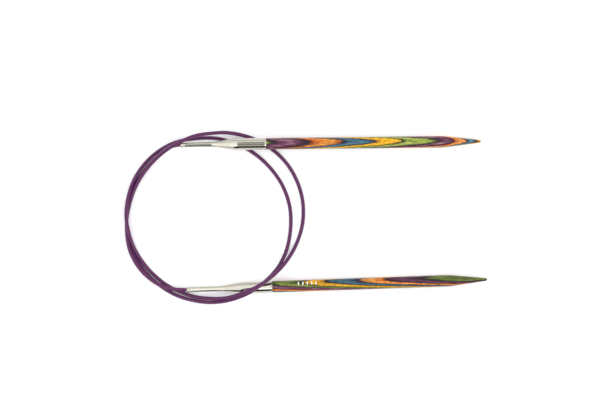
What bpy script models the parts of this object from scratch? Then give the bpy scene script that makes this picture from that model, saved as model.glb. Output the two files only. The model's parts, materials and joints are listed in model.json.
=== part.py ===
"""Fixed circular knitting needle: two laminated wooden tips in metal ferrules, joined by one nylon cord.

Metres, +Z up. The table that it lies on is Z = 0, and both needles point along +X. Needle B lies flat on the
table. Needle A rests on two strands of its own cord, so its tip end slopes down to the table. The cord lies in
two and a half loops, from the mouth of ferrule A to the mouth of ferrule B.
"""

import math

import bpy
from mathutils import Euler, Matrix, Vector

# Wooden tip. Lengths run along the needle from the ferrule's mouth.
SHAFT_RADIUS = 0.0025
SHAFT_RADIUS_AT_FERRULE = 0.00246
SPIGOT_RADIUS = 0.00228
SPIGOT_START = 0.0256
SHOULDER = 0.0372
FULL_SHAFT_FROM = 0.046
TAPER_START = 0.1142
TIP_END = 0.1307
TIP_BALL_RADIUS = 0.00065
TAPER_ANGLE = math.radians(6.6)
TAPER_ROUND = 0.0016
BALL_STEPS = 3

# Metal ferrule, a swaged tube.
FERRULE_RADIUS = 0.00255
NECK_RADIUS = 0.00115
NECK_END = 0.0135
FLARE_END = 0.0248
FLARE_STEPS = 6
BEAD_RADIUS = 0.00128
BEAD_LENGTH = 0.0012
SOCKET_RADIUS = 0.00231
BORE_RADIUS = 0.00085
BORE_END = 0.0142
SOCKET_START = 0.0252

# Dyed veneers of the laminate. A ply's place is its height on the shoulder, along the laminate's normal.
PLY_PITCH = 0.00088
PLY_COUNT = 12
GLUE_LINE = 0.00004
PLY_TOP_A = 0.00308
PLY_TOP_B = 0.00748
GRAIN_SLOPE = math.atan(0.0616)
PLY_ROLL_A = math.radians(14)
PLY_ROLL_B = math.radians(45)
SLAB_LENGTH = 0.26
SLAB_WIDTH = 0.012

# Nylon cord.
CORD_RADIUS = 0.0008
CORD_END_IN_FERRULE = 0.013
LEAD_LENGTH = 0.006
CORD_POINT_SPACING = 0.0071
MEETING_GAP = 0.0004
SAMPLES_PER_SPAN = 24

# Facets round each turned piece. One facet of each faces straight down.
SIDES = 24
MERGE = 0.00001

# Where the needles lie: the ferrule's mouth, the heading about +Z and the slope down to the tip.
# Needle A's slope puts the start of its taper on the table, and needle B's ferrule lies flat on it.
HALF_FACET = math.pi / SIDES
MOUTH_A = Vector((-0.0665, 0.0304, 0.0059))
HEADING_A = math.radians(0.68)
SLOPE_A = math.asin((MOUTH_A.z - SHAFT_RADIUS * math.cos(HALF_FACET)) / TAPER_START)
MOUTH_B = Vector((-0.0638, -0.0326, FERRULE_RADIUS * math.cos(HALF_FACET)))
HEADING_B = math.radians(1.97)
SLOPE_B = 0.0

# The cord's centreline, from 6 mm inside ferrule A to 6 mm inside ferrule B.
ROUTE = [
    # out of ferrule A and down to the table, inside the second loop
    (-0.0605, 0.0305, 0.00572),
    (-0.0665, 0.0304, 0.0059),
    (-0.0697, 0.0298, 0.00575),
    (-0.0726, 0.0284, 0.00505),
    (-0.0755, 0.0261, 0.0039),
    (-0.07835, 0.02365, 0.00265),
    (-0.08095, 0.02085, 0.00162),
    (-0.0833, 0.0178, 0.00102),
    (-0.0854, 0.01465, 0.00085),
    (-0.0874, 0.0109, 0.00085),
    # first loop: down the left side in the middle of the bundle, and along the bottom
    (-0.0895, 0.0038, 0.00085),
    (-0.09, -0.0041, 0.00085),
    (-0.0888, -0.0118, 0.00085),
    (-0.08575, -0.01935, 0.00085),
    (-0.0812, -0.02568, 0.00085),
    (-0.0754, -0.0309, 0.00085),
    (-0.0687, -0.0349, 0.00088),
    (-0.0614, -0.0372, 0.001),
    (-0.0538, -0.0381, 0.0019),
    # over ferrule B
    (-0.046, -0.0373, 0.0041),
    (-0.038, -0.0345, 0.006),
    (-0.0328, -0.0314, 0.00625),
    (-0.0281, -0.0274, 0.00585),
    # up the right side on the inside, and under ferrule A
    (-0.0234, -0.0217, 0.0027),
    (-0.0204, -0.0152, 0.001),
    (-0.0187, -0.0062, 0.0009),
    (-0.019, 0.0032, 0.0009),
    (-0.0219, 0.0121, 0.0009),
    (-0.0272, 0.02, 0.0009),
    (-0.0343, 0.0265, 0.0009),
    (-0.0424, 0.0309, 0.0009),
    (-0.0515, 0.0333, 0.0009),
    (-0.0607, 0.0331, 0.0009),
    # second loop: down the left on the outside, and over the other two strands
    (-0.0691, 0.0314, 0.00085),
    (-0.0765, 0.0274, 0.00085),
    (-0.0824, 0.0219, 0.001),
    (-0.0867, 0.0153, 0.002),
    (-0.0892, 0.0079, 0.0034),
    (-0.0901, -0.0001, 0.00425),
    (-0.0889, -0.008, 0.0039),
    # down on the inside of the bundle and along the bottom
    (-0.0864, -0.0151, 0.0022),
    (-0.0823, -0.0216, 0.00115),
    (-0.0771, -0.0271, 0.00088),
    (-0.0711, -0.0315, 0.0009),
    (-0.061, -0.0355, 0.001),
    (-0.0537, -0.0364, 0.00245),
    # over ferrule B, on top of the first loop
    (-0.046, -0.036, 0.00525),
    (-0.0385, -0.0336, 0.0076),
    (-0.0329, -0.031, 0.00805),
    (-0.0268, -0.0268, 0.00735),
    (-0.0208, -0.0206, 0.0036),
    (-0.0163, -0.0131, 0.0011),
    # up the right side on the outside, and under needle A
    (-0.0134, -0.0034, 0.0009),
    (-0.0137, 0.0077, 0.0009),
    (-0.0181, 0.019, 0.0009),
    (-0.0255, 0.0275, 0.0009),
    (-0.0352, 0.0332, 0.00095),
    (-0.0454, 0.0356, 0.0025),
    (-0.054, 0.0353, 0.0054),
    # last half loop: over the cord where it leaves ferrule A, and down the left on the inside
    (-0.06, 0.0343, 0.0073),
    (-0.0653, 0.0322, 0.008),
    (-0.0693, 0.0302, 0.00755),
    (-0.0739, 0.0271, 0.0063),
    (-0.0781, 0.0234, 0.0044),
    (-0.0818, 0.0192, 0.00305),
    (-0.0849, 0.0144, 0.0025),
    (-0.0873, 0.0092, 0.0024),
    (-0.0899, -0.002, 0.00258),
    # out to the outside of the bundle
    (-0.089, -0.014, 0.0024),
    (-0.0867, -0.0197, 0.0023),
    (-0.0832, -0.0247, 0.00242),
    # over the other two strands and into ferrule B
    (-0.0785, -0.0288, 0.00255),
    (-0.0746, -0.031, 0.0026),
    (-0.0705, -0.0322, 0.0026),
    (-0.0671, -0.03255, 0.00253),
    (-0.0638, -0.0326, 0.00253),
    (-0.0578, -0.0324, 0.00253),
]
STRAIGHT_IN_FERRULE = 0.006

# Colour, roughness and metallic value of each material.
MATERIALS = {
    "wood_green": ((0.26, 0.33, 0.08), 0.35, 0.0),
    "wood_purple": ((0.18, 0.05, 0.11), 0.35, 0.0),
    "wood_orange": ((0.66, 0.18, 0.03), 0.35, 0.0),
    "wood_blue": ((0.07, 0.16, 0.23), 0.35, 0.0),
    "wood_yellow": ((0.83, 0.42, 0.02), 0.35, 0.0),
    "nickel": ((0.70, 0.68, 0.62), 0.15, 1.0),
    "nylon": ((0.16, 0.04, 0.15), 0.3, 0.0),
}
COLOUR_ORDER = ["green", "purple", "orange", "blue", "yellow"]


def clear_scene():
    for obj in list(bpy.data.objects):
        bpy.data.objects.remove(obj, do_unlink=True)


def new_collection(name):
    collection = bpy.data.collections.new(name)
    bpy.context.scene.collection.children.link(collection)
    return collection


def make_materials():
    made = {}
    for name, (colour, roughness, metallic) in MATERIALS.items():
        material = bpy.data.materials.new(name)
        material.use_nodes = True
        shader = material.node_tree.nodes["Principled BSDF"]
        shader.inputs["Base Color"].default_value = (*colour, 1.0)
        shader.inputs["Roughness"].default_value = roughness
        shader.inputs["Metallic"].default_value = metallic
        made[name] = material
    return made


def empty(name, matrix, parent=None):
    """An empty whose place is given in its parent's frame."""
    obj = bpy.data.objects.new(name, None)
    obj.empty_display_size = 0.005
    parts.objects.link(obj)
    obj.parent = parent
    obj.matrix_basis = matrix
    return obj


def turned(name, outline, closed, material, parent):
    """A body turned about local Z from an outline of (radius, height), given from its top down."""
    mesh = bpy.data.meshes.new(name)
    verts = [(radius, 0.0, height) for radius, height in outline]
    edges = [(i, i + 1) for i in range(len(verts) - 1)]
    if closed:
        edges.append((len(verts) - 1, 0))
    mesh.from_pydata(verts, edges, [])
    mesh.materials.append(materials[material])
    obj = bpy.data.objects.new(name, mesh)
    parts.objects.link(obj)
    obj.parent = parent
    screw = obj.modifiers.new("turn", "SCREW")
    screw.axis = "Z"
    screw.steps = SIDES
    screw.render_steps = SIDES
    screw.use_merge_vertices = True
    screw.merge_threshold = MERGE
    screw.use_smooth_shade = True
    return obj


def shaft_outline():
    """The tip's outline, from its rounded point down to the spigot in the ferrule."""
    ball_centre = TIP_END - TIP_BALL_RADIUS
    outline = [(0.0, TIP_END)]
    for i in range(1, BALL_STEPS + 1):
        angle = (math.pi / 2 - TAPER_ANGLE) * i / BALL_STEPS
        outline.append((TIP_BALL_RADIUS * math.sin(angle), ball_centre + TIP_BALL_RADIUS * math.cos(angle)))
    outline.append((SHAFT_RADIUS - TAPER_ROUND * math.tan(TAPER_ANGLE), TAPER_START + TAPER_ROUND))
    outline.append((SHAFT_RADIUS, TAPER_START - TAPER_ROUND))
    outline.append((SHAFT_RADIUS, FULL_SHAFT_FROM))
    outline.append((SHAFT_RADIUS_AT_FERRULE, SHOULDER))
    outline.append((SPIGOT_RADIUS, SHOULDER))
    outline.append((SPIGOT_RADIUS, SPIGOT_START))
    outline.append((0.0, SPIGOT_START))
    return outline


def flare(low, high, start, end, steps):
    """Points of the ferrule's S-shaped flare, from its wide end down to its neck."""
    points = []
    for i in range(steps + 1):
        t = 1 - i / steps
        radius = low + (high - low) * (1 - math.cos(math.pi * t)) / 2
        points.append((radius, start + (end - start) * t))
    return points


def ferrule_outline():
    outer = [
        (FERRULE_RADIUS, SHOULDER),
        *flare(NECK_RADIUS, FERRULE_RADIUS, NECK_END, FLARE_END, FLARE_STEPS),
        (NECK_RADIUS, BEAD_LENGTH),
        (BEAD_RADIUS, BEAD_LENGTH * 0.7),
        (BEAD_RADIUS, BEAD_LENGTH * 0.3),
        (NECK_RADIUS, 0.0),
    ]
    inner = flare(BORE_RADIUS, SOCKET_RADIUS, BORE_END, SOCKET_START, FLARE_STEPS)
    return outer + [(BORE_RADIUS, 0.0)] + inner[::-1] + [(SOCKET_RADIUS, SHOULDER)]


def slab_cutter(name, height, roll, rise, parent):
    """A tilted slab that keeps one ply of a shaft. height is its middle on the shoulder."""
    bpy.ops.mesh.primitive_cube_add(size=1.0)
    obj = bpy.context.object
    obj.name = name
    thickness = PLY_PITCH * math.cos(GRAIN_SLOPE) - GLUE_LINE
    obj.data.transform(Matrix.Diagonal((thickness, SLAB_WIDTH, SLAB_LENGTH, 1.0)))
    for collection in list(obj.users_collection):
        collection.objects.unlink(obj)
    cutters.objects.link(obj)
    obj.parent = parent
    turn = Matrix.Rotation(-HALF_FACET, 4, "Z") @ Matrix.Rotation(math.pi - roll, 4, "Z")
    lean = Matrix.Rotation(rise * GRAIN_SLOPE, 4, "Y")
    obj.matrix_basis = Matrix.Translation((0, 0, SHOULDER)) @ turn @ Matrix.Translation((height, 0, 0)) @ lean
    obj.hide_render = True
    obj.display_type = "WIRE"
    return obj


def make_plies(needle, ply_top, roll, rise, parent):
    """The shaft's plies, counted along the laminate's normal from its top."""
    for i in range(PLY_COUNT):
        colour = COLOUR_ORDER[i % len(COLOUR_ORDER)]
        name = f"{needle}_ply_{i + 1:02d}_{colour}"
        ply = turned(name, shaft_outline(), False, f"wood_{colour}", parent)
        height = ply_top - PLY_PITCH * (i + 0.5)
        cut = ply.modifiers.new("keep_one_ply", "BOOLEAN")
        cut.operation = "INTERSECT"
        cut.solver = "EXACT"
        cut.object = slab_cutter(f"slab_{name}", height, roll, rise, parent)


def smooth_route(points):
    """Points close together on a centripetal Catmull-Rom curve through the given ones."""
    given = [Vector(p) for p in points]
    padded = [2 * given[0] - given[1], *given, 2 * given[-1] - given[-2]]
    line = []
    for p0, p1, p2, p3 in zip(padded, padded[1:], padded[2:], padded[3:]):
        t1 = math.sqrt((p1 - p0).length)
        t2 = t1 + math.sqrt((p2 - p1).length)
        t3 = t2 + math.sqrt((p3 - p2).length)
        for k in range(SAMPLES_PER_SPAN):
            t = t1 + (t2 - t1) * k / SAMPLES_PER_SPAN
            a1 = p0.lerp(p1, t / t1)
            a2 = p1.lerp(p2, (t - t1) / (t2 - t1))
            a3 = p2.lerp(p3, (t - t2) / (t3 - t2))
            b1 = a1.lerp(a2, t / t2)
            b2 = a2.lerp(a3, (t - t1) / (t3 - t1))
            line.append(b1.lerp(b2, (t - t1) / (t2 - t1)))
    line.append(given[-1])
    return line


def stretch(line, start, end, spacing):
    """Evenly spaced points of a line, between two lengths along it."""
    along = [0.0]
    for p, q in zip(line, line[1:]):
        along.append(along[-1] + (q - p).length)
    count = max(2, round((end - start) / spacing))
    points = []
    k = 0
    for i in range(count + 1):
        s = start + (end - start) * i / count
        while along[k + 1] < s:
            k += 1
        points.append(line[k].lerp(line[k + 1], (s - along[k]) / (along[k + 1] - along[k])))
    return points


def line_length(line):
    return sum((q - p).length for p, q in zip(line, line[1:]))


def tube(name, points, origin, parent):
    """A round nylon tube along the points, with its object's origin at the given place."""
    curve = bpy.data.curves.new(name, "CURVE")
    curve.dimensions = "3D"
    curve.bevel_depth = CORD_RADIUS
    curve.bevel_resolution = 2
    curve.use_fill_caps = True
    spline = curve.splines.new("POLY")
    spline.points.add(len(points) - 1)
    for point, place in zip(spline.points, points):
        point.co = (*(place - origin), 1.0)
    spline.use_smooth = True
    curve.materials.append(materials["nylon"])
    obj = bpy.data.objects.new(name, curve)
    parts.objects.link(obj)
    obj.parent = parent
    if parent is None:
        obj.location = origin
    return obj


def make_needle(needle, mouth, heading, slope, pivot, ply_top, roll, rise):
    """One needle on two empties: it swings about the upright one, and rolls about the one on its own axis."""
    swing = empty(f"{needle}_swing", Matrix.Translation(pivot))
    lie = Euler((0.0, math.pi / 2 + slope, heading)).to_matrix().to_4x4()
    along = Matrix.Translation(mouth - pivot) @ lie @ Matrix.Rotation(HALF_FACET, 4, "Z")
    axis = empty(f"{needle}_roll", along, swing)
    turned(f"{needle}_ferrule", ferrule_outline(), True, "nickel", axis)
    make_plies(needle, ply_top, roll, rise, axis)
    end_outline = [
        (0.0, CORD_END_IN_FERRULE),
        (CORD_RADIUS, CORD_END_IN_FERRULE),
        (CORD_RADIUS, MEETING_GAP / 2),
        (0.0, MEETING_GAP / 2),
    ]
    turned(f"{needle}_cord_end", end_outline, False, "nylon", axis)
    return swing


clear_scene()
parts = new_collection("circular_knitting_needle")
cutters = new_collection("cutters")
materials = make_materials()

centreline = smooth_route(ROUTE)
mouth_a_at = STRAIGHT_IN_FERRULE
mouth_b_at = line_length(centreline) - STRAIGHT_IN_FERRULE
pivot_a_at = mouth_a_at + LEAD_LENGTH
pivot_b_at = mouth_b_at - LEAD_LENGTH
half_gap = MEETING_GAP / 2
lead_a = stretch(centreline, mouth_a_at + half_gap, pivot_a_at - half_gap, CORD_POINT_SPACING)
loops = stretch(centreline, pivot_a_at + half_gap, pivot_b_at - half_gap, CORD_POINT_SPACING)
lead_b = stretch(centreline, pivot_b_at + half_gap, mouth_b_at - half_gap, CORD_POINT_SPACING)
pivot_a = (lead_a[-1] + loops[0]) / 2
pivot_b = (lead_b[0] + loops[-1]) / 2

swing_a = make_needle("needle_a", MOUTH_A, HEADING_A, SLOPE_A, pivot_a, PLY_TOP_A, PLY_ROLL_A, 1)
swing_b = make_needle("needle_b", MOUTH_B, HEADING_B, SLOPE_B, pivot_b, PLY_TOP_B, PLY_ROLL_B, -1)
tube("cord_lead_a", lead_a, pivot_a, swing_a)
tube("cord_loops", loops, Vector((0, 0, 0)), None)
tube("cord_lead_b", lead_b, pivot_b, swing_b)
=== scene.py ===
"""Looks for the circular knitting needle: laminated wooden tips, polished ferrules and one nylon cord.

Everything is in metres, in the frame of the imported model. Each needle's pieces are built in the needle's
own frame: X runs from the ferrule's mouth to the tip, Y to the left of it, and Z away from the table.
"""

import json
import math

import bmesh
import bpy
from mathutils import Matrix, Vector, noise
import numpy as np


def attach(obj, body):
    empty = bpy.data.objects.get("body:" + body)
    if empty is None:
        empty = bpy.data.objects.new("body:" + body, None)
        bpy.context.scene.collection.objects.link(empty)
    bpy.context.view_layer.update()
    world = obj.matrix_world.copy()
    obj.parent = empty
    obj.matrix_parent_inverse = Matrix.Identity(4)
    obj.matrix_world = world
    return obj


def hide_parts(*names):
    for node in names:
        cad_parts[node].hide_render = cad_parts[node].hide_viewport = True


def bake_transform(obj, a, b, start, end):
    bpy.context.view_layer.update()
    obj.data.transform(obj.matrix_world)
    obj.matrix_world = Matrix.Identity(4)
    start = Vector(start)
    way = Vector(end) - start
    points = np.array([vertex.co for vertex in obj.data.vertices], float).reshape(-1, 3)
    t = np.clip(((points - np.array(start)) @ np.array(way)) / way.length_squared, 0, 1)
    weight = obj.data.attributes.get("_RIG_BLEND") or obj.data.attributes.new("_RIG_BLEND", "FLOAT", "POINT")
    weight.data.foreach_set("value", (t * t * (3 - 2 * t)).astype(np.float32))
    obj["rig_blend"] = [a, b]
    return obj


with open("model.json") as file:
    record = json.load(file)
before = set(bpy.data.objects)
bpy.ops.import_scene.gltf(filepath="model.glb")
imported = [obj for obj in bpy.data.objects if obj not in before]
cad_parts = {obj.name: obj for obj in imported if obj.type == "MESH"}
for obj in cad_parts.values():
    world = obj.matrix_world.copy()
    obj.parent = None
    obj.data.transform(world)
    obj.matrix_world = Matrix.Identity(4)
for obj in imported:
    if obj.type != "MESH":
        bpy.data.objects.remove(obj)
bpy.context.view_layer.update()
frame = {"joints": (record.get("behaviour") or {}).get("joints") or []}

# Wooden tip, by its distance from the ferrule's mouth.
SHAFT_RADIUS = 0.0025
COLLAR_WOOD_RADIUS = 0.00246
SPIGOT_RADIUS = 0.00228
SPIGOT_START = 0.0256
SHOULDER = 0.0372
FULL_SHAFT_FROM = 0.046
TAPER_START = 0.1142
TAPER_ROUND = 0.0016
TAPER_ANGLE = math.radians(6.6)
TIP_END = 0.1307
TIP_BALL_RADIUS = 0.00065
TIP_BALL_CENTRE = TIP_END - TIP_BALL_RADIUS
CONE_END = TIP_BALL_CENTRE + TIP_BALL_RADIUS * math.sin(TAPER_ANGLE)
CONE_END_RADIUS = TIP_BALL_RADIUS * math.cos(TAPER_ANGLE)
WOOD_EDGE = 0.00008
SHAFT_RING_STEP = 0.0008
TAPER_RING_STEP = 0.0004
TIP_BALL_STEPS = 8
SHAFT_SIDES = 72

# Dyed veneers. A boundary is its height at the shoulder, along the laminate's normal, in millimetres, how
# sharply it is creased along its middle, and how far it follows the round of the shaft.
BOUNDARIES = {
    "needle_a": [
        (2.3, 0, -0.2), (1.37, 0, -0.7), (0.37, 0, 0), (-0.42, 0, 0), (-1.15, 0.05, 0), (-2.2, 0.18, 0),
        (-3.04, -0.25, 0), (-3.96, -0.25, 0), (-4.9, 0, 0), (-6.3, 0, 0), (-7.0, 0, 0),
    ],
    "needle_b": [
        (6.5, 0, 0), (5.53, -0.1, 0), (4.74, 0, 0), (3.94, -0.1, 0), (3.32, 0, -0.35), (2.16, 0.2, 0),
        (1.1, 0, 0), (0.15, 0, 0), (-0.75, 0, 0), (-1.65, 0, 0), (-2.55, 0, 0),
    ],
}
CREASE_WIDTH = 0.0012

# How the laminate lies in each needle: its slope, which way it rises towards the point, and how far its
# normal is rolled about the needle's axis.
GRAIN_SLOPE = 0.0616
RISE = {"needle_a": 1, "needle_b": -1}
ROLL = {"needle_a": math.radians(12), "needle_b": math.radians(41)}

# How thick the first and the last veneer count as, for their colour, beyond the outermost boundaries.
OUTER_PLY = {"needle_a": 0.0004, "needle_b": 0.001}

# How far the veneers bend down, against the laminate's normal, and between which places.
TIP_BEND = {"needle_a": 0.0, "needle_b": 0.0005}
TIP_BEND_FROM = 0.111
TIP_BEND_TO = 0.124

# Waves pressed into the veneers: their height, and their rate to the metre along and across the needle.
# The shift keeps the short waves apart from the long ones.
LONG_WAVE = 0.00012
LONG_WAVE_RATE = (95, 420)
SHORT_WAVE = 0.00008
SHORT_WAVE_RATE = (330, 1100)
SHORT_WAVE_SHIFT = 7

COLOUR_ORDER = ["green", "purple", "orange", "blue", "yellow"]

# How much lighter or darker than its colour a veneer came out of the dye, where it isn't 1. Veneers are
# numbered from the top.
SHEET_TONE = {
    ("needle_a", 1): 1.2,
    ("needle_a", 5): 1.18,
    ("needle_a", 6): 1.14,
    ("needle_b", 1): 0.5,
    ("needle_b", 2): 0.66,
    ("needle_b", 4): 0.76,
    ("needle_b", 5): 0.92,
    ("needle_b", 6): 0.7,
}

# Swaged metal ferrule, by its distance from the mouth.
FERRULE_RADIUS = 0.00255
NECK_RADIUS = 0.00115
NECK_END = 0.0135
FLARE_END = 0.0248
BEAD_RADIUS = 0.00128
BEAD_LENGTH = 0.0012
LIP_ROUND = 0.00008
SOCKET_RADIUS = 0.00231
BORE_RADIUS = 0.00085
BORE_END = 0.0142
SOCKET_START = 0.0252
CRIMP_AT = 0.0226
CRIMP_ANGLE = {"needle_a": math.radians(150), "needle_b": math.radians(-4)}
CRIMP_LENGTH = 0.0011
CRIMP_WIDTH = 0.0008
CRIMP_DEPTH = 0.0002
CRIMP_FALLOFF = 4
FERRULE_RING_STEP = 0.0006
FLARE_RING_STEP = 0.0003
BEAD_STEPS = 8
LIP_STEPS = 4
FERRULE_SIDES = 96
SHARP_EDGE = math.radians(50)

# Nylon cord.
CORD_RADIUS = 0.0008
CORD_SIDES = 20
CORD_RING_STEP = 0.0008
CORD_END_IN_FERRULE = 0.013
JOIN_IN_FERRULE = 0.0004
STRAIGHT_IN_FERRULE = 0.006
LEAD_LENGTH = 0.035
BEND_FROM = 0.0115
BEND_TO = 0.0005
SAMPLES_PER_SPAN = 24

# The cord's centreline, from 6 mm inside ferrule A to 6 mm inside ferrule B.
ROUTE = [
    # out of ferrule A and down to the table, inside the second loop
    (-0.0605, 0.0305, 0.00572),
    (-0.0665, 0.0304, 0.0059),
    (-0.0697, 0.0298, 0.00575),
    (-0.0726, 0.0284, 0.00505),
    (-0.0755, 0.0261, 0.0039),
    (-0.07835, 0.02365, 0.00265),
    (-0.08095, 0.02085, 0.00162),
    (-0.0833, 0.0178, 0.00102),
    (-0.0854, 0.01465, 0.00085),
    (-0.0874, 0.0109, 0.00085),
    # first loop: down the left side in the middle of the bundle, and along the bottom
    (-0.0895, 0.0038, 0.00085),
    (-0.09, -0.0041, 0.00085),
    (-0.0888, -0.0118, 0.00085),
    (-0.08575, -0.01935, 0.00085),
    (-0.0812, -0.02568, 0.00085),
    (-0.0754, -0.0309, 0.00085),
    (-0.0687, -0.0349, 0.00088),
    (-0.0614, -0.0372, 0.001),
    (-0.0538, -0.0381, 0.0019),
    # over ferrule B
    (-0.046, -0.0373, 0.0041),
    (-0.038, -0.0345, 0.006),
    (-0.0328, -0.0314, 0.00625),
    (-0.0281, -0.0274, 0.00585),
    # up the right side on the inside, and under ferrule A
    (-0.0234, -0.0217, 0.0027),
    (-0.0204, -0.0152, 0.001),
    (-0.0187, -0.0062, 0.0009),
    (-0.019, 0.0032, 0.0009),
    (-0.0219, 0.0121, 0.0009),
    (-0.0272, 0.02, 0.0009),
    (-0.0343, 0.0265, 0.0009),
    (-0.0424, 0.0309, 0.0009),
    (-0.0515, 0.0333, 0.0009),
    (-0.0607, 0.0331, 0.0009),
    # second loop: down the left on the outside, and over the other two strands
    (-0.0691, 0.0314, 0.00085),
    (-0.0765, 0.0274, 0.00085),
    (-0.0824, 0.0219, 0.001),
    (-0.0867, 0.0153, 0.002),
    (-0.0892, 0.0079, 0.0034),
    (-0.0901, -0.0001, 0.00425),
    (-0.0889, -0.008, 0.0039),
    # down on the inside of the bundle and along the bottom
    (-0.0864, -0.0151, 0.0022),
    (-0.0823, -0.0216, 0.00115),
    (-0.0771, -0.0271, 0.00088),
    (-0.0711, -0.0315, 0.0009),
    (-0.061, -0.0355, 0.001),
    (-0.0537, -0.0364, 0.00245),
    # over ferrule B, on top of the first loop
    (-0.046, -0.036, 0.00525),
    (-0.0385, -0.0336, 0.0076),
    (-0.0329, -0.031, 0.00805),
    (-0.0268, -0.0268, 0.00735),
    (-0.0208, -0.0206, 0.0036),
    (-0.0163, -0.0131, 0.0011),
    # up the right side on the outside, and under needle A
    (-0.0134, -0.0034, 0.0009),
    (-0.0137, 0.0077, 0.0009),
    (-0.0181, 0.019, 0.0009),
    (-0.0255, 0.0275, 0.0009),
    (-0.0352, 0.0332, 0.00095),
    (-0.0454, 0.0356, 0.0025),
    (-0.054, 0.0353, 0.0054),
    # last half loop: over the cord where it leaves ferrule A, and down the left on the inside
    (-0.06, 0.0343, 0.0073),
    (-0.0653, 0.0322, 0.008),
    (-0.0693, 0.0302, 0.00755),
    (-0.0739, 0.0271, 0.0063),
    (-0.0781, 0.0234, 0.0044),
    (-0.0818, 0.0192, 0.00305),
    (-0.0849, 0.0144, 0.0025),
    (-0.0873, 0.0092, 0.0024),
    (-0.0899, -0.002, 0.00258),
    # out to the outside of the bundle
    (-0.089, -0.014, 0.0024),
    (-0.0867, -0.0197, 0.0023),
    (-0.0832, -0.0247, 0.00242),
    # over the other two strands and into ferrule B
    (-0.0785, -0.0288, 0.00255),
    (-0.0746, -0.031, 0.0026),
    (-0.0705, -0.0322, 0.0026),
    (-0.0671, -0.03255, 0.00253),
    (-0.0638, -0.0326, 0.00253),
    (-0.0578, -0.0324, 0.00253),
]

# Plain bars on needle B, where the real one is printed. Their angle is from the needle's own Z, towards Y.
TICK_COUNT = 5
TICK_START = 0.0484
TICK_PITCH = 0.0019
TICK_WIDTH = 0.0005
TICK_ARC = 0.0015
TICK_ANGLE = math.radians(27)
TICK_THICKNESS = 0.00002
TICK_STEPS = 10

# Light tent, and the glow of the table under it.
TENT_STRENGTH = 1.28
TENT_LIGHT_AT_TABLE = 0.5
TENT_LIGHT_OVERHEAD = 1.2
TABLE_GLOW = 0.18

# Lamp and dark gap on the near side: bands between two angles from the table, with soft edges. They fade
# out to the left, between two values of a direction's X, and left of the middle the gap reaches deeper.
LAMP_LOW = math.radians(46)
LAMP_HIGH = math.radians(72)
LAMP_EDGE = math.radians(3)
LAMP_LIGHT = 1.9
LAMP_FADE_FROM = -0.4
LAMP_FADE_TO = -0.1
GAP_LOW = math.radians(15)
GAP_HIGH = math.radians(44)
GAP_EDGE = math.radians(1.5)
GAP_FADE_FROM = -0.16
GAP_FADE_TO = -0.05
GAP_DEEPER = math.radians(14)
GAP_DEEPER_FROM = 0.045
GAP_DEEPER_TO = 0.02
GAP_COLOUR = (0.004, 0.004, 0.005, 1.0)

# Grey seam overhead: its sides and ends by their angles from straight up, and the stripes across it.
SEAM_LEFT = math.radians(1.5)
SEAM_RIGHT = math.radians(6)
SEAM_EDGE = math.radians(0.6)
SEAM_NEAR = math.radians(-45)
SEAM_FAR = math.radians(35)
SEAM_END_EDGE = math.radians(4)
SEAM_STRIPE = math.radians(36)
SEAM_STRIPE_AT = math.radians(-12)
SEAM_LIGHTEST = 0.6
SEAM_DARKEST = 0.16

# Camera, straight above the table. What it sees across is VIEW_WIDTH at VIEW_HEIGHT_OF_SHARP_SIZE.
VIEW_CENTRE = (-0.01283, 0.00598)
VIEW_WIDTH = 0.26435
VIEW_HEIGHT_OF_SHARP_SIZE = 0.003
LENS = 250
SENSOR = 36
CLIP_START = 0.1
CLIP_END = 20
FLOOR_SIZE = 6.0


# ---------------------------------------------------------------- nodes and materials


def srgb(text):
    """Linear colour of a six-digit hexadecimal screen colour."""
    values = []
    for i in (0, 2, 4):
        c = int(text[i : i + 2], 16) / 255
        values.append(c / 12.92 if c <= 0.04045 else ((c + 0.055) / 1.055) ** 2.4)
    return (*values, 1.0)


def add(tree, kind, inputs=None, **settings):
    """A new node. inputs gives a socket's value, or the output socket that feeds it."""
    node = tree.nodes.new(kind)
    for key, value in settings.items():
        setattr(node, key, value)
    for key, value in (inputs or {}).items():
        if isinstance(value, bpy.types.NodeSocket):
            tree.links.new(value, node.inputs[key])
        else:
            node.inputs[key].default_value = value
    return node


def blank_material(name):
    """A new material, its node tree and its shader."""
    material = bpy.data.materials.new(name)
    material.use_nodes = True
    return material, material.node_tree, material.node_tree.nodes["Principled BSDF"]


def scaled(tree, vector, scale):
    node = add(tree, "ShaderNodeVectorMath", {0: vector, 1: scale}, operation="MULTIPLY")
    return node.outputs["Vector"]


def noise_of(tree, vector, scale, detail=3.0, roughness=0.5):
    """Noise from 0 to 1 of a vector, stretched by a scale for each axis."""
    stretched = scaled(tree, vector, scale)
    inputs = {"Vector": stretched, "Scale": 1.0, "Detail": detail, "Roughness": roughness}
    return add(tree, "ShaderNodeTexNoise", inputs).outputs["Fac"]


def math_of(tree, operation, a, b=0.0, c=0.0):
    return add(tree, "ShaderNodeMath", {0: a, 1: b, 2: c}, operation=operation).outputs[0]


def remap(tree, value, low, high, to_low, to_high):
    inputs = {"Value": value, "From Min": low, "From Max": high, "To Min": to_low, "To Max": to_high}
    return add(tree, "ShaderNodeMapRange", inputs).outputs["Result"]


def mixed(tree, factor, a, b, blend="MIX"):
    """Two colours mixed. A Mix node's sockets share their names, so these are found by number."""
    inputs = {0: factor, 6: a, 7: b}
    return add(tree, "ShaderNodeMix", inputs, data_type="RGBA", blend_type=blend).outputs[2]


def grey_of(tree, value):
    """The colour that has a value in all three channels."""
    inputs = {"Red": value, "Green": value, "Blue": value}
    return add(tree, "ShaderNodeCombineColor", inputs).outputs["Color"]


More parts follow.
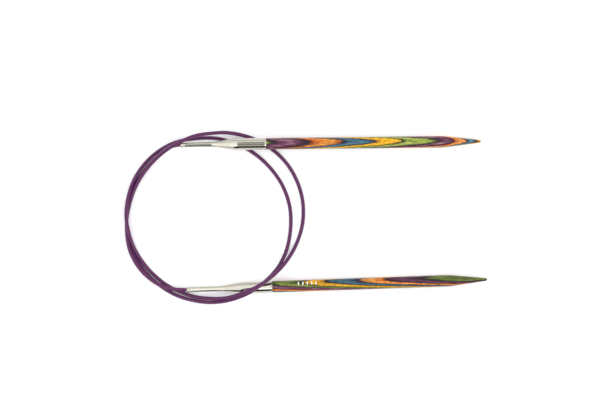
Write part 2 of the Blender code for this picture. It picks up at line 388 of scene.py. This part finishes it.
def ramp_of(tree, value, stops):
    """A colour ramp of a value, by stops of (position, hexadecimal colour)."""
    node = add(tree, "ShaderNodeValToRGB", {"Fac": value})
    elements = node.color_ramp.elements
    while len(elements) < len(stops):
        elements.new(0.5)
    for element, (position, colour) in zip(elements, stops):
        element.position = position
        element.color = srgb(colour)
    return node.outputs["Color"]


# Veneer colours by depth in the ply, from its lower glue line (0) to its upper one (1).
PLY_STOPS = {
    "green": [
        (0.0, "1E2810"), (0.09, "3C4A1C"), (0.24, "86963E"), (0.5, "96A648"),
        (0.78, "74843A"), (0.92, "3E4C22"), (1.0, "1C2412"),
    ],
    "purple": [
        (0.0, "1E0A18"), (0.1, "3A1830"), (0.28, "602A4A"), (0.52, "7A4464"),
        (0.76, "5C2A4A"), (0.92, "38142C"), (1.0, "220C1C"),
    ],
    "orange": [
        (0.0, "5A2A10"), (0.08, "B4601E"), (0.26, "DE8E38"), (0.52, "E68A2E"),
        (0.8, "D66C1E"), (0.94, "A04412"), (1.0, "4E220E"),
    ],
    "blue": [
        (0.0, "0E1624"), (0.1, "22364E"), (0.28, "3E687E"), (0.52, "4A7A8C"),
        (0.76, "345472"), (0.9, "1E2E4C"), (1.0, "121A2C"),
    ],
    "yellow": [
        (0.0, "5E420A"), (0.08, "BE860E"), (0.26, "F0B41A"), (0.52, "EEAE12"),
        (0.8, "CC8E0C"), (0.94, "8E620C"), (1.0, "3E300C"),
    ],
}

# Paler patches where the dye has taken less.
PALE = {"green": "C0C860", "purple": "B0848E", "orange": "F6B466", "blue": "6A9AA4", "yellow": "FFC634"}


def wood(colour):
    """Dyed birch veneer under satin lacquer. Fibres run along the needle."""
    material, tree, shader = blank_material(f"wood_{colour}")
    place = add(tree, "ShaderNodeTexCoord").outputs["Object"]
    depth = add(tree, "ShaderNodeAttribute", attribute_name="depth").outputs["Fac"]
    cloud = noise_of(tree, place, (150, 800, 800), 3.0)
    fibres = noise_of(tree, place, (700, 2300, 2300), 4.0, 0.7)
    mottle = noise_of(tree, place, (380, 1400, 1400), 4.0, 0.65)
    pores = noise_of(tree, place, (1300, 4200, 4200), 2.0, 0.5)
    shift = math_of(tree, "MULTIPLY_ADD", cloud, 0.3, -0.15)
    soaked = math_of(tree, "MULTIPLY_ADD", mottle, 0.36, -0.18)
    inside = math_of(tree, "ADD", depth, math_of(tree, "ADD", shift, soaked))
    base = ramp_of(tree, inside, PLY_STOPS[colour])
    from_middle = math_of(tree, "ABSOLUTE", math_of(tree, "SUBTRACT", depth, 0.55))
    middle = remap(tree, from_middle, 0.1, 0.38, 1.0, 0.0)
    patch = math_of(tree, "MULTIPLY", middle, remap(tree, cloud, 0.46, 0.62, 0.0, 0.8))
    patch = math_of(tree, "MULTIPLY", patch, remap(tree, fibres, 0.35, 0.6, 0.3, 1.0))
    tone = add(tree, "ShaderNodeAttribute", attribute_name="tone").outputs["Fac"]
    patch = math_of(tree, "MULTIPLY", patch, remap(tree, tone, 0.7, 1.0, 0.0, 1.0))
    base = mixed(tree, patch, base, srgb(PALE[colour]))
    light = remap(tree, fibres, 0.34, 0.66, 0.42, 1.26)
    light = math_of(tree, "MULTIPLY", light, remap(tree, mottle, 0.34, 0.66, 0.74, 1.2))
    light = math_of(tree, "MULTIPLY", light, tone)
    base = mixed(tree, 1.0, base, grey_of(tree, light), "MULTIPLY")
    dark_pore = remap(tree, pores, 0.6, 0.7, 0.0, 0.5)
    base = mixed(tree, dark_pore, base, srgb("140C08"))
    tree.links.new(base, shader.inputs["Base Color"])
    tree.links.new(remap(tree, mottle, 0.3, 0.7, 0.36, 0.5), shader.inputs["Roughness"])
    shader.inputs["Coat Weight"].default_value = 0.15
    shader.inputs["Coat Roughness"].default_value = 0.2
    shader.inputs["Specular IOR Level"].default_value = 0.22
    height = math_of(tree, "SUBTRACT", fibres, dark_pore)
    bump = add(tree, "ShaderNodeBump", {"Height": height, "Distance": 0.00003, "Strength": 0.5})
    tree.links.new(bump.outputs["Normal"], shader.inputs["Normal"])
    return material


def nickel():
    """Polished nickel plate with faint draw lines along the tube and a few soft smudges."""
    material, tree, shader = blank_material("nickel")
    place = add(tree, "ShaderNodeTexCoord").outputs["Object"]
    lines = noise_of(tree, place, (35, 5200, 5200), 4.0, 0.6)
    smudge = noise_of(tree, place, (280, 700, 700), 3.0, 0.55)
    colour = mixed(tree, smudge, srgb("CBC8BB"), srgb("B9B6A9"))
    shader.inputs["Metallic"].default_value = 1.0
    tree.links.new(colour, shader.inputs["Base Color"])
    rough = remap(tree, smudge, 0.35, 0.7, 0.02, 0.05)
    rough = math_of(tree, "ADD", rough, remap(tree, lines, 0.4, 0.7, 0.0, 0.03))
    tree.links.new(rough, shader.inputs["Roughness"])
    bump = add(tree, "ShaderNodeBump", {"Height": lines, "Distance": 0.0000008, "Strength": 0.6})
    tree.links.new(bump.outputs["Normal"], shader.inputs["Normal"])
    return material


def nylon():
    """Extruded nylon: smooth, softly glossy, with faint draw lines and scuffs."""
    material, tree, shader = blank_material("nylon")
    around = add(tree, "ShaderNodeUVMap", uv_map="around_along").outputs["UV"]
    draw = noise_of(tree, around, (9, 60, 1), 3.0, 0.6)
    scuff = noise_of(tree, around, (5, 900, 1), 4.0, 0.65)
    tone = math_of(tree, "MULTIPLY_ADD", draw, 0.6, math_of(tree, "MULTIPLY", scuff, 0.4))
    colour = ramp_of(tree, tone, [(0.3, "420E40"), (0.5, "54164E"), (0.7, "66225F")])
    tree.links.new(colour, shader.inputs["Base Color"])
    tree.links.new(remap(tree, scuff, 0.35, 0.7, 0.26, 0.38), shader.inputs["Roughness"])
    shader.inputs["Specular IOR Level"].default_value = 0.4
    bump = add(tree, "ShaderNodeBump", {"Height": draw, "Distance": 0.000008, "Strength": 0.4})
    tree.links.new(bump.outputs["Normal"], shader.inputs["Normal"])
    return material


def ink():
    """White pad-printed ink, a little thin over the grain."""
    material, tree, shader = blank_material("ink")
    place = add(tree, "ShaderNodeTexCoord").outputs["Object"]
    grain = noise_of(tree, place, (900, 5200, 5200), 4.0, 0.65)
    tree.links.new(ramp_of(tree, grain, [(0.3, "D8D8CC"), (0.6, "FFFFFF")]), shader.inputs["Base Color"])
    tree.links.new(remap(tree, grain, 0.3, 0.7, 0.45, 0.6), shader.inputs["Roughness"])
    return material


def floor_material():
    """A matt white table top, faintly lit from below like a light table."""
    material, tree, shader = blank_material("floor")
    place = add(tree, "ShaderNodeTexCoord").outputs["Object"]
    cloud = noise_of(tree, place, (3, 3, 3), 2.0)
    tree.links.new(ramp_of(tree, cloud, [(0.3, "F5F5F7"), (0.7, "F8F8F9")]), shader.inputs["Base Color"])
    shader.inputs["Roughness"].default_value = 0.7
    shader.inputs["Specular IOR Level"].default_value = 0.1
    shader.inputs["Emission Color"].default_value = (0.96, 0.98, 1.0, 1.0)
    shader.inputs["Emission Strength"].default_value = TABLE_GLOW
    return material


# ---------------------------------------------------------------- shared shapes


def new_object(name, mesh, material):
    mesh.materials.append(material)
    obj = bpy.data.objects.new(name, mesh)
    bpy.context.scene.collection.objects.link(obj)
    return obj


def dress(obj, body, slot, *replaced):
    """obj rides on a body and stands for CAD nodes. The slot is not used."""
    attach(obj, body)
    if replaced:
        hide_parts(*replaced)


def joint_named(name):
    return next(joint for joint in frame["joints"] if joint["name"] == name)


def needle_frame(needle):
    """Matrix of a needle's own frame, from the joint that it rolls on."""
    joint = joint_named(f"{needle}_roll")
    along = Vector(joint["axis"]).normalized()
    side = Vector((0, 0, 1)).cross(along).normalized()
    up = along.cross(side)
    matrix = Matrix((along, side, up)).transposed().to_4x4()
    matrix.translation = Vector(joint["pos_m"])
    return matrix


def turned(outline, sides, closed):
    """A bmesh turned about X from an outline of (distance along, radius).

    A closed outline makes a shell. An open one starts and ends on the axis.
    """
    bm = bmesh.new()
    rings = []
    for x, radius in outline:
        if radius == 0:
            rings.append([bm.verts.new((x, 0, 0))] * sides)
            continue
        angles = [2 * math.pi * k / sides for k in range(sides)]
        rings.append([bm.verts.new((x, radius * math.sin(a), radius * math.cos(a))) for a in angles])
    pairs = list(zip(rings, rings[1:]))
    if closed:
        pairs.append((rings[-1], rings[0]))
    for ring, following in pairs:
        for k in range(sides):
            corners = [ring[k], ring[(k + 1) % sides], following[(k + 1) % sides], following[k]]
            bm.faces.new(list(dict.fromkeys(corners))).smooth = True
    bmesh.ops.recalc_face_normals(bm, faces=bm.faces)
    return bm


# ---------------------------------------------------------------- cord


def smooth_route(points):
    """Points close together on a centripetal Catmull-Rom curve through the given ones."""
    given = [Vector(p) for p in points]
    padded = [2 * given[0] - given[1], *given, 2 * given[-1] - given[-2]]
    line = []
    for p0, p1, p2, p3 in zip(padded, padded[1:], padded[2:], padded[3:]):
        t1 = math.sqrt((p1 - p0).length)
        t2 = t1 + math.sqrt((p2 - p1).length)
        t3 = t2 + math.sqrt((p3 - p2).length)
        for k in range(SAMPLES_PER_SPAN):
            t = t1 + (t2 - t1) * k / SAMPLES_PER_SPAN
            a1 = p0.lerp(p1, t / t1)
            a2 = p1.lerp(p2, (t - t1) / (t2 - t1))
            a3 = p2.lerp(p3, (t - t2) / (t3 - t2))
            b1 = a1.lerp(a2, t / t2)
            b2 = a2.lerp(a3, (t - t1) / (t3 - t1))
            line.append(b1.lerp(b2, (t - t1) / (t2 - t1)))
    line.append(given[-1])
    return line


def lengths_along(line):
    """The length of a line up to each of its points."""
    along = [0.0]
    for p, q in zip(line, line[1:]):
        along.append(along[-1] + (q - p).length)
    return along


def place_at(line, along, s):
    """The point at a length s along a line."""
    k = max(i for i in range(len(along) - 1) if along[i] <= s)
    return line[k].lerp(line[k + 1], (s - along[k]) / (along[k + 1] - along[k]))


def cord_rings(line, stops):
    """Rings (centre, two cross directions, length along) at even steps between each two stops.

    The cross directions are carried from ring to ring without twist. Returns one list for each stretch,
    and neighbouring stretches share their end ring.
    """
    along = lengths_along(line)
    places = []
    stretch_ends = [0]
    for start, end in zip(stops, stops[1:]):
        count = max(2, round((end - start) / CORD_RING_STEP))
        places += [start + (end - start) * i / count for i in range(count)]
        stretch_ends.append(len(places))
    places.append(stops[-1])
    centres = [place_at(line, along, s) for s in places]
    rings = []
    cross = Vector((0, 0, 1))
    for i, centre in enumerate(centres):
        tangent = (centres[min(i + 1, len(centres) - 1)] - centres[max(i - 1, 0)]).normalized()
        cross = (cross - tangent * cross.dot(tangent)).normalized()
        rings.append((centre, cross, tangent.cross(cross), places[i]))
    return [rings[a : b + 1] for a, b in zip(stretch_ends, stretch_ends[1:])]


def round_tube(name, rings, material):
    """A closed round tube through rings, with UVs of (turns around, metres along)."""
    bm = bmesh.new()
    uv = bm.loops.layers.uv.new("around_along")
    loops_of_verts = []
    for centre, cross, other, _ in rings:
        ring = []
        for k in range(CORD_SIDES):
            angle = 2 * math.pi * k / CORD_SIDES
            offset = cross * math.cos(angle) + other * math.sin(angle)
            ring.append(bm.verts.new(centre + offset * CORD_RADIUS))
        loops_of_verts.append(ring)
    for i in range(len(rings) - 1):
        ring, following = loops_of_verts[i], loops_of_verts[i + 1]
        for k in range(CORD_SIDES):
            after = (k + 1) % CORD_SIDES
            face = bm.faces.new((ring[k], ring[after], following[after], following[k]))
            face.smooth = True
            turns = (k, k + 1, k + 1, k)
            places = (rings[i][3], rings[i][3], rings[i + 1][3], rings[i + 1][3])
            for loop, turn, place in zip(face.loops, turns, places):
                loop[uv].uv = (turn / CORD_SIDES, place)
    for cap in (bm.faces.new(loops_of_verts[0]), bm.faces.new(loops_of_verts[-1])):
        for edge in cap.edges:
            edge.smooth = False
    bmesh.ops.recalc_face_normals(bm, faces=bm.faces)
    mesh = bpy.data.meshes.new(name)
    bm.to_mesh(mesh)
    bm.free()
    return new_object(name, mesh, material)


def make_cord(material):
    """The cord in three stretches: a lead at each ferrule that bends, and the loops between."""
    line = smooth_route(ROUTE)
    along = lengths_along(line)
    mouth_a = STRAIGHT_IN_FERRULE
    mouth_b = along[-1] - STRAIGHT_IN_FERRULE
    start, end = mouth_a - JOIN_IN_FERRULE, mouth_b + JOIN_IN_FERRULE
    stops = [start, mouth_a + LEAD_LENGTH, mouth_b - LEAD_LENGTH, end]
    rings_a, rings_loops, rings_b = cord_rings(line, stops)
    middle = round_tube("nylon_loops", rings_loops, material)
    dress(middle, "cord_loops", "nylon", "cord_loops")
    leads = [
        ("a", rings_a, mouth_a, 1, stops[0], stops[1]),
        ("b", rings_b[::-1], mouth_b, -1, stops[2], stops[3]),
    ]
    for letter, rings, mouth, outward, low, high in leads:
        lead = round_tube(f"nylon_lead_{letter}", rings, material)
        bend_start = place_at(line, along, mouth + outward * BEND_FROM)
        bend_end = place_at(line, along, mouth + outward * BEND_TO)
        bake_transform(lead, "cord_loops", f"lead_{letter}", start=bend_start, end=bend_end)
        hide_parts(f"cord_lead_{letter}")


def make_cord_end(needle, matrix, material):
    """The end of the cord that is glued into a ferrule."""
    count = round((CORD_END_IN_FERRULE - JOIN_IN_FERRULE) / CORD_RING_STEP)
    rings = []
    for i in range(count + 1):
        x = JOIN_IN_FERRULE + (CORD_END_IN_FERRULE - JOIN_IN_FERRULE) * i / count
        rings.append((Vector((x, 0, 0)), Vector((0, 0, 1)), Vector((0, -1, 0)), x))
    end = round_tube(f"nylon_end_{needle[-1]}", rings, material)
    end.matrix_world = matrix
    dress(end, needle, "nylon", f"{needle}_cord_end")


# ---------------------------------------------------------------- wooden tips


def taper_radius(x):
    """Radius of the tapering tip, a straight cone with a rounded start."""
    slope = (SHAFT_RADIUS - CONE_END_RADIUS) / (CONE_END - TAPER_START)
    past = x - TAPER_START
    if past < TAPER_ROUND:
        return SHAFT_RADIUS - slope * (past + TAPER_ROUND) ** 2 / (4 * TAPER_ROUND)
    return SHAFT_RADIUS - slope * past


def steps_between(low, high, step):
    """Even places from low up to, but not including, high."""
    count = max(1, round((high - low) / step))
    return [low + (high - low) * i / count for i in range(count)]


def smooth_step(t):
    """A soft rise from 0 to 1 as t does."""
    t = min(1.0, max(0.0, t))
    return t * t * (3 - 2 * t)


def shaft_outline():
    """From the spigot's end, past the shoulder and along the shaft to the rounded point."""
    outline = [(SPIGOT_START, 0.0), (SPIGOT_START, SPIGOT_RADIUS - WOOD_EDGE)]
    for x in steps_between(SPIGOT_START + WOOD_EDGE, SHOULDER, SHAFT_RING_STEP):
        outline.append((x, SPIGOT_RADIUS))
    outline.append((SHOULDER, SPIGOT_RADIUS))
    outline.append((SHOULDER, COLLAR_WOOD_RADIUS - WOOD_EDGE))
    outline.append((SHOULDER + 0.3 * WOOD_EDGE, COLLAR_WOOD_RADIUS - 0.3 * WOOD_EDGE))
    outline.append((SHOULDER + WOOD_EDGE, COLLAR_WOOD_RADIUS))
    for x in steps_between(SHOULDER + 3 * WOOD_EDGE, FULL_SHAFT_FROM, SHAFT_RING_STEP):
        t = smooth_step((x - SHOULDER) / (FULL_SHAFT_FROM - SHOULDER))
        outline.append((x, COLLAR_WOOD_RADIUS + (SHAFT_RADIUS - COLLAR_WOOD_RADIUS) * t))
    taper_from = TAPER_START - TAPER_ROUND
    outline += [(x, SHAFT_RADIUS) for x in steps_between(FULL_SHAFT_FROM, taper_from, SHAFT_RING_STEP)]
    outline += [(x, taper_radius(x)) for x in steps_between(taper_from, CONE_END, TAPER_RING_STEP)]
    for i in range(TIP_BALL_STEPS):
        angle = TAPER_ANGLE + (math.pi / 2 - TAPER_ANGLE) * i / TIP_BALL_STEPS
        x = TIP_BALL_CENTRE + TIP_BALL_RADIUS * math.sin(angle)
        outline.append((x, TIP_BALL_RADIUS * math.cos(angle)))
    outline.append((TIP_END, 0.0))
    return outline


def waviness(p):
    """How far the veneers are pressed below their planes at a point."""
    along, across = LONG_WAVE_RATE
    long_wave = noise.noise(Vector((p.x * along, p.y * across, p.z * across)))
    along, across = SHORT_WAVE_RATE
    short_wave = noise.noise(Vector((p.x * along + SHORT_WAVE_SHIFT, p.y * across, p.z * across)))
    return LONG_WAVE * long_wave + SHORT_WAVE * short_wave


def uncut_shaft(needle):
    """The whole shaft, each point marked with its place, its normal and where it lies in the laminate.

    Height is measured as a boundary's height is: the veneers' slope, bend and waves are taken out of it.
    Spread is the way out to the side, levelling off, and fall is how far the shaft's round drops there.
    """
    normal = Vector((0, math.sin(ROLL[needle]), math.cos(ROLL[needle])))
    rise = RISE[needle] * GRAIN_SLOPE
    shaft = turned(shaft_outline(), SHAFT_SIDES, False)
    shaft.normal_update()
    real_place = shaft.verts.layers.float_vector.new("real_place")
    real_normal = shaft.verts.layers.float_vector.new("real_normal")
    height = shaft.verts.layers.float.new("height")
    spread = shaft.verts.layers.float.new("spread")
    fall = shaft.verts.layers.float.new("fall")
    across = normal.cross(Vector((1, 0, 0)))
    for vert in shaft.verts:
        vert[real_place] = vert.co
        vert[real_normal] = vert.normal
        bend = TIP_BEND[needle] * smooth_step((vert.co.x - TIP_BEND_FROM) / (TIP_BEND_TO - TIP_BEND_FROM))
        vert[height] = vert.co.dot(normal) - rise * (vert.co.x - SHOULDER) + bend + waviness(vert.co)
        sideways = abs(vert.co.dot(across))
        vert[spread] = sideways / (1 + sideways / CREASE_WIDTH)
        vert[fall] = sideways * sideways / (2 * SHAFT_RADIUS)
    uncut = bpy.data.meshes.new("uncut_shaft")
    shaft.to_mesh(uncut)
    shaft.free()
    return uncut


def make_plies(needle, matrix, materials):
    """One closed solid for each veneer, cut from the turned shaft along wavy sheets."""
    sheets = [(level / 1000, crease, follow) for level, crease, follow in BOUNDARIES[needle]]
    top_sheet = (sheets[0][0] + OUTER_PLY[needle], 0.0, 0.0)
    bottom_sheet = (sheets[-1][0] - OUTER_PLY[needle], 0.0, 0.0)
    sheets = [top_sheet, *sheets, bottom_sheet]
    uncut = uncut_shaft(needle)
    for i, (upper, lower) in enumerate(zip(sheets, sheets[1:])):
        colour = COLOUR_ORDER[i % len(COLOUR_ORDER)]
        name = f"veneer_{needle[-1]}_{i + 1:02d}_{colour}"
        cuts = []
        if i < len(sheets) - 2:
            cuts.append((*lower, 1))
        if i > 0:
            cuts.append((*upper, -1))
        mesh = ply_mesh(name, uncut, cuts, lower, upper, SHEET_TONE.get((needle, i + 1), 1.0))
        ply = new_object(name, mesh, materials[f"wood_{colour}"])
        ply.matrix_world = matrix
        dress(ply, needle, f"wood_{colour}", f"{needle}_ply_{i + 1:02d}_{colour}")
    bpy.data.meshes.remove(uncut)


def ply_mesh(name, uncut, cuts, lower, upper, tone):
    """What is left of the shaft after its cuts, with each point's depth between the two sheets.

    A sheet is a boundary in metres. A cut is a sheet, and 1 to keep what is above it or -1 for below.
    """
    bm = bmesh.new()
    bm.from_mesh(uncut)
    real_place = bm.verts.layers.float_vector["real_place"]
    real_normal = bm.verts.layers.float_vector["real_normal"]
    height = bm.verts.layers.float["height"]
    spread = bm.verts.layers.float["spread"]
    fall = bm.verts.layers.float["fall"]
    for level, crease, follow, facing in cuts:
        for vert in bm.verts:
            vert.co.z = vert[height] - crease * vert[spread] - follow * vert[fall]
        cut_flat(bm, level, facing)
    for vert in bm.verts:
        vert.co = vert[real_place]
    bm.normal_update()
    mesh = bpy.data.meshes.new(name)
    bm.to_mesh(mesh)
    normals = [Vector(d.vector) for d in mesh.attributes["real_normal"].data]
    depth = mesh.attributes.new("depth", "FLOAT", "POINT")
    heights = [d.value for d in mesh.attributes["height"].data]
    spreads = [d.value for d in mesh.attributes["spread"].data]
    falls = [d.value for d in mesh.attributes["fall"].data]
    for i, (h, w, f) in enumerate(zip(heights, spreads, falls)):
        low_here = lower[0] + lower[1] * w + lower[2] * f
        high_here = upper[0] + upper[1] * w + upper[2] * f
        depth.data[i].value = (h - low_here) / (high_here - low_here)
    tones = mesh.attributes.new("tone", "FLOAT", "POINT")
    tones.data.foreach_set("value", [tone] * len(heights))
    loop_normals = []
    for face in mesh.polygons:
        for k in face.vertices:
            loop_normals.append(normals[k].normalized() if face.use_smooth else face.normal)
    mesh.normals_split_custom_set(loop_normals)
    for layer in ("real_place", "real_normal", "height", "spread", "fall"):
        mesh.attributes.remove(mesh.attributes[layer])
    bm.free()
    return mesh


def cut_flat(bm, level, facing):
    """Keeps what is above the level (facing 1) or below it (facing -1), and closes the cut."""
    geometry = [*bm.verts, *bm.edges, *bm.faces]
    cut = bmesh.ops.bisect_plane(
        bm, geom=geometry, dist=1e-9, plane_co=(0, 0, level), plane_no=(0, 0, -facing), clear_outer=True
    )
    edges = [e for e in cut["geom_cut"] if isinstance(e, bmesh.types.BMEdge)]
    filled = bmesh.ops.triangle_fill(bm, use_beauty=False, edges=edges, normal=(0, 0, -facing))
    for face in filled["geom"]:
        if isinstance(face, bmesh.types.BMFace):
            face.smooth = False
    for edge in edges:
        edge.smooth = False


# ---------------------------------------------------------------- ferrules and print


def flare_radius(low, high, start, end, x):
    """Radius at x of an S-shaped flare from one radius to another."""
    t = min(1, max(0, (x - start) / (end - start)))
    return low + (high - low) * (1 - math.cos(math.pi * t)) / 2


def outer_flare(x):
    return flare_radius(NECK_RADIUS, FERRULE_RADIUS, NECK_END, FLARE_END, x)


def ferrule_outline():
    """Outside from the mouth to the wood, then the socket and the bore back to the mouth."""
    outline = []
    bead_foot = NECK_RADIUS - LIP_ROUND / 2
    for i in range(BEAD_STEPS + 1):
        angle = math.pi * i / BEAD_STEPS
        x = BEAD_LENGTH * (1 - math.cos(angle)) / 2
        outline.append((x, bead_foot + (BEAD_RADIUS - bead_foot) * math.sin(angle)))
    neck = steps_between(BEAD_LENGTH + LIP_ROUND, NECK_END, FERRULE_RING_STEP)
    outline += [(x, NECK_RADIUS) for x in neck]
    flare = steps_between(NECK_END, FLARE_END, FLARE_RING_STEP)
    outline += [(x, outer_flare(x)) for x in flare]
    barrel = steps_between(FLARE_END, SHOULDER - 2 * LIP_ROUND, FERRULE_RING_STEP)
    outline += [(x, FERRULE_RADIUS) for x in barrel]
    for i in range(LIP_STEPS + 1):
        angle = math.pi / 2 * i / LIP_STEPS
        x = SHOULDER - LIP_ROUND * (1 - math.sin(angle))
        outline.append((x, FERRULE_RADIUS - LIP_ROUND * (1 - math.cos(angle))))
    outline.append((SHOULDER, SOCKET_RADIUS + LIP_ROUND / 2))
    outline.append((SHOULDER - LIP_ROUND / 2, SOCKET_RADIUS))
    for x in reversed(steps_between(BORE_END, SOCKET_START, FERRULE_RING_STEP)):
        outline.append((x, flare_radius(BORE_RADIUS, SOCKET_RADIUS, BORE_END, SOCKET_START, x)))
    outline.append((LIP_ROUND, BORE_RADIUS))
    outline.append((LIP_ROUND / 4, BORE_RADIUS + LIP_ROUND / 2))
    return outline


def press_crimp(bm, needle):
    """A small pit in the flare that grips the wood."""
    out = Vector((0, math.sin(CRIMP_ANGLE[needle]), math.cos(CRIMP_ANGLE[needle])))
    centre = Vector((CRIMP_AT, 0, 0)) + out * outer_flare(CRIMP_AT)
    for vert in bm.verts:
        away = vert.co - centre
        reach = (away.x / CRIMP_LENGTH) ** 2 + (away.length_squared - away.x ** 2) / CRIMP_WIDTH ** 2
        if math.hypot(vert.co.y, vert.co.z) > outer_flare(vert.co.x) - LIP_ROUND:
            vert.co -= out * CRIMP_DEPTH * math.exp(-CRIMP_FALLOFF * reach)


def make_ferrule(needle, matrix, material):
    bm = turned(ferrule_outline(), FERRULE_SIDES, True)
    press_crimp(bm, needle)
    mesh = bpy.data.meshes.new(f"swaged_ferrule_{needle[-1]}")
    bm.to_mesh(mesh)
    bm.free()
    mesh.set_sharp_from_angle(angle=SHARP_EDGE)
    ferrule = new_object(mesh.name, mesh, material)
    ferrule.matrix_world = matrix
    dress(ferrule, needle, "nickel", f"{needle}_ferrule")


def make_ticks(needle, matrix, material):
    """A row of plain white bars where the gauge is printed."""
    bm = bmesh.new()
    for i in range(TICK_COUNT):
        low = TICK_START + TICK_PITCH * i
        grid = []
        for radius in (SHAFT_RADIUS - TICK_THICKNESS, SHAFT_RADIUS + TICK_THICKNESS):
            for x in (low, low + TICK_WIDTH):
                row = []
                for k in range(TICK_STEPS + 1):
                    angle = TICK_ANGLE + TICK_ARC / SHAFT_RADIUS * (k / TICK_STEPS - 0.5)
                    row.append(bm.verts.new((x, radius * math.sin(angle), radius * math.cos(angle))))
                grid.append(row)
        inner_low, inner_high, outer_low, outer_high = grid
        rounds = [outer_low, outer_high, inner_high, inner_low]
        for k in range(TICK_STEPS):
            for row, other in zip(rounds, rounds[1:] + rounds[:1]):
                bm.faces.new((row[k], row[k + 1], other[k + 1], other[k]))
        for k in (0, TICK_STEPS):
            bm.faces.new([row[k] for row in rounds])
    bmesh.ops.recalc_face_normals(bm, faces=bm.faces)
    mesh = bpy.data.meshes.new("gauge_ticks")
    bm.to_mesh(mesh)
    bm.free()
    ticks = new_object("gauge_ticks", mesh, material)
    ticks.matrix_world = matrix
    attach(ticks, needle)


# ---------------------------------------------------------------- stage


def make_floor():
    bm = bmesh.new()
    bmesh.ops.create_grid(bm, x_segments=1, y_segments=1, size=FLOOR_SIZE / 2)
    mesh = bpy.data.meshes.new("floor")
    bm.to_mesh(mesh)
    bm.free()
    new_object("floor", mesh, floor_material())


def band(tree, value, low, high, edge):
    """1 where a value lies between two limits and 0 outside them, with soft edges."""
    after = remap(tree, value, low - edge, low + edge, 0.0, 1.0)
    before = remap(tree, value, high - edge, high + edge, 1.0, 0.0)
    return math_of(tree, "MULTIPLY", after, before)


def make_world():
    """A white light tent with a lamp above a dark gap on the near side, and a grey seam overhead."""
    world = bpy.data.worlds.new("tent")
    bpy.context.scene.world = world
    world.use_nodes = True
    tree = world.node_tree
    direction = add(tree, "ShaderNodeTexCoord").outputs["Generated"]
    parts = add(tree, "ShaderNodeSeparateXYZ", {0: direction})
    x, y, z = parts.outputs["X"], parts.outputs["Y"], parts.outputs["Z"]
    near_side = math_of(tree, "ARCTAN2", z, math_of(tree, "MULTIPLY", y, -1.0))
    gap_there = remap(tree, x, GAP_FADE_FROM, GAP_FADE_TO, 0.0, 1.0)
    gap = band(tree, near_side, GAP_LOW, GAP_HIGH, GAP_EDGE)
    deeper = band(tree, near_side, GAP_LOW - GAP_DEEPER, GAP_HIGH, GAP_EDGE)
    deeper = math_of(tree, "MULTIPLY", deeper, remap(tree, x, GAP_DEEPER_FROM, GAP_DEEPER_TO, 0.0, 1.0))
    gap = math_of(tree, "MULTIPLY", gap_there, math_of(tree, "MAXIMUM", gap, deeper))
    to_right = math_of(tree, "ARCTAN2", x, z)
    to_far_side = math_of(tree, "ARCTAN2", y, z)
    seam_width = band(tree, to_right, SEAM_LEFT, SEAM_RIGHT, SEAM_EDGE)
    seam_length = band(tree, to_far_side, SEAM_NEAR, SEAM_FAR, SEAM_END_EDGE)
    seam = math_of(tree, "MULTIPLY", seam_width, seam_length)
    turn = math_of(tree, "SUBTRACT", to_far_side, SEAM_STRIPE_AT)
    wave = math_of(tree, "COSINE", math_of(tree, "MULTIPLY", turn, 2 * math.pi / SEAM_STRIPE))
    shade = remap(tree, wave, -1.0, 1.0, SEAM_LIGHTEST, SEAM_DARKEST)
    light = remap(tree, z, 0.0, 1.0, TENT_LIGHT_AT_TABLE, TENT_LIGHT_OVERHEAD)
    lamp = band(tree, near_side, LAMP_LOW, LAMP_HIGH, LAMP_EDGE)
    lamp = math_of(tree, "MULTIPLY", lamp, remap(tree, x, LAMP_FADE_FROM, LAMP_FADE_TO, 0.0, 1.0))
    light = math_of(tree, "MULTIPLY", light, remap(tree, lamp, 0.0, 1.0, 1.0, LAMP_LIGHT))
    tent = mixed(tree, seam, grey_of(tree, light), grey_of(tree, shade))
    colour = mixed(tree, gap, tent, GAP_COLOUR)
    background = tree.nodes["Background"]
    tree.links.new(colour, background.inputs["Color"])
    background.inputs["Strength"].default_value = TENT_STRENGTH


def make_camera():
    data = bpy.data.cameras.new("camera")
    data.lens = LENS
    data.sensor_width = SENSOR
    camera = bpy.data.objects.new("camera", data)
    distance = VIEW_WIDTH * LENS / SENSOR
    camera.location = (*VIEW_CENTRE, distance + VIEW_HEIGHT_OF_SHARP_SIZE)
    data.clip_start = CLIP_START
    data.clip_end = CLIP_END
    bpy.context.scene.collection.objects.link(camera)
    bpy.context.scene.camera = camera


make_camera()
make_world()
make_floor()
bpy.context.scene.view_settings.view_transform = "Standard"

nylon_material = nylon()
make_cord(nylon_material)

wood_materials = {f"wood_{colour}": wood(colour) for colour in COLOUR_ORDER}
nickel_material = nickel()
for needle in ("needle_a", "needle_b"):
    own_frame = needle_frame(needle)
    make_cord_end(needle, own_frame, nylon_material)
    make_ferrule(needle, own_frame, nickel_material)
    make_plies(needle, own_frame, wood_materials)
make_ticks("needle_b", needle_frame("needle_b"), ink())
